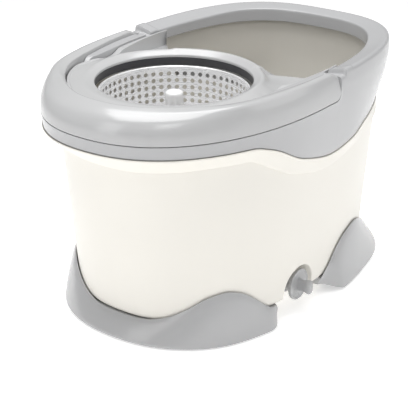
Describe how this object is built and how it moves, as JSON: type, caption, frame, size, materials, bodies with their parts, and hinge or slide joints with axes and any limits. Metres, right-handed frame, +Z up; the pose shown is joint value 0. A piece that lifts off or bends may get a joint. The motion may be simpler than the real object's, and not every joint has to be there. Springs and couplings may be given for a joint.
{
  "type": "spin mop bucket",
  "caption": "Two-zone spin-mop bucket: a washing side, a spinning drain basket under a lift-off cover, a fold-up carry handle and a twist drain cap.",
  "frame": {"origin": "on the floor under the middle of the bounding box", "axes": "+X along the length to the pour end (the basket is at the -X end), -Y the long side with the drain cap, +Z up"},
  "size_m": [0.46, 0.29, 0.27],
  "materials": {
    "cream_plastic": "satin warm off-white moulding",
    "grey_plastic": "satin cool light grey moulding",
    "light_grey_plastic": "satin light grey moulding",
    "dark_plastic": "dark matt moulding",
    "white_plastic": "white moulding",
    "polished_steel": "bright stainless steel",
    "black_rubber": "matt black rubber"
  },
  "bodies": {
    "bucket": {"bucket_tub": "cream_plastic", "rim_trim": "grey_plastic", "handle_pin_near": "polished_steel", "handle_pin_far": "polished_steel", "upper_bearing": "polished_steel", "lower_bearing": "polished_steel", "spin_tower": "grey_plastic", "tower_screw_1": "polished_steel", "tower_screw_2": "polished_steel", "tower_screw_3": "polished_steel", "drain_spout": "grey_plastic", "drain_seal": "black_rubber", "front_foot": "grey_plastic", "rear_foot": "grey_plastic", "front_pad_near": "black_rubber", "front_pad_far": "black_rubber", "rear_pad_near": "black_rubber", "rear_pad_far": "black_rubber", "wash_stud": "cream_plastic"},
    "handle": {"carry_handle": "light_grey_plastic"},
    "spinner": {"spin_basket": "polished_steel", "drive_post": "white_plastic", "basket_hub": "grey_plastic", "hub_screw_1": "polished_steel", "hub_screw_2": "polished_steel", "hub_screw_3": "polished_steel", "spin_axle": "polished_steel", "axle_clip": "polished_steel"},
    "cover": {"basket_cover": "light_grey_plastic", "collar_liner": "dark_plastic"},
    "drain_knob": {"drain_cap": "grey_plastic"},
    "wash_spinner": {"wash_cap": "white_plastic"}
  },
  "joints": [
    {"name": "handle_lift", "type": "hinge", "parent": "bucket", "child": "handle", "pos_m": [0.014, 0, 0.263], "axis": [0, 1, 0], "range_deg": [0, 90]},
    {"name": "basket_spin", "type": "hinge", "parent": "bucket", "child": "spinner", "pos_m": [-0.0826, 0, 0.2], "axis": [0, 0, 1], "continuous": true},
    {"name": "cover_lift", "type": "slide", "parent": "bucket", "child": "cover", "axis": [0, 0, 1], "range_m": [0, 0.06]},
    {"name": "drain_turn", "type": "hinge", "parent": "bucket", "child": "drain_knob", "pos_m": [-0.027, -0.1291, 0.0325], "axis": [0, -1, 0], "range_deg": [0, 90]},
    {"name": "wash_spin", "type": "hinge", "parent": "bucket", "child": "wash_spinner", "pos_m": [0.105, 0, 0.05], "axis": [0, 0, 1], "continuous": true}
  ]
}
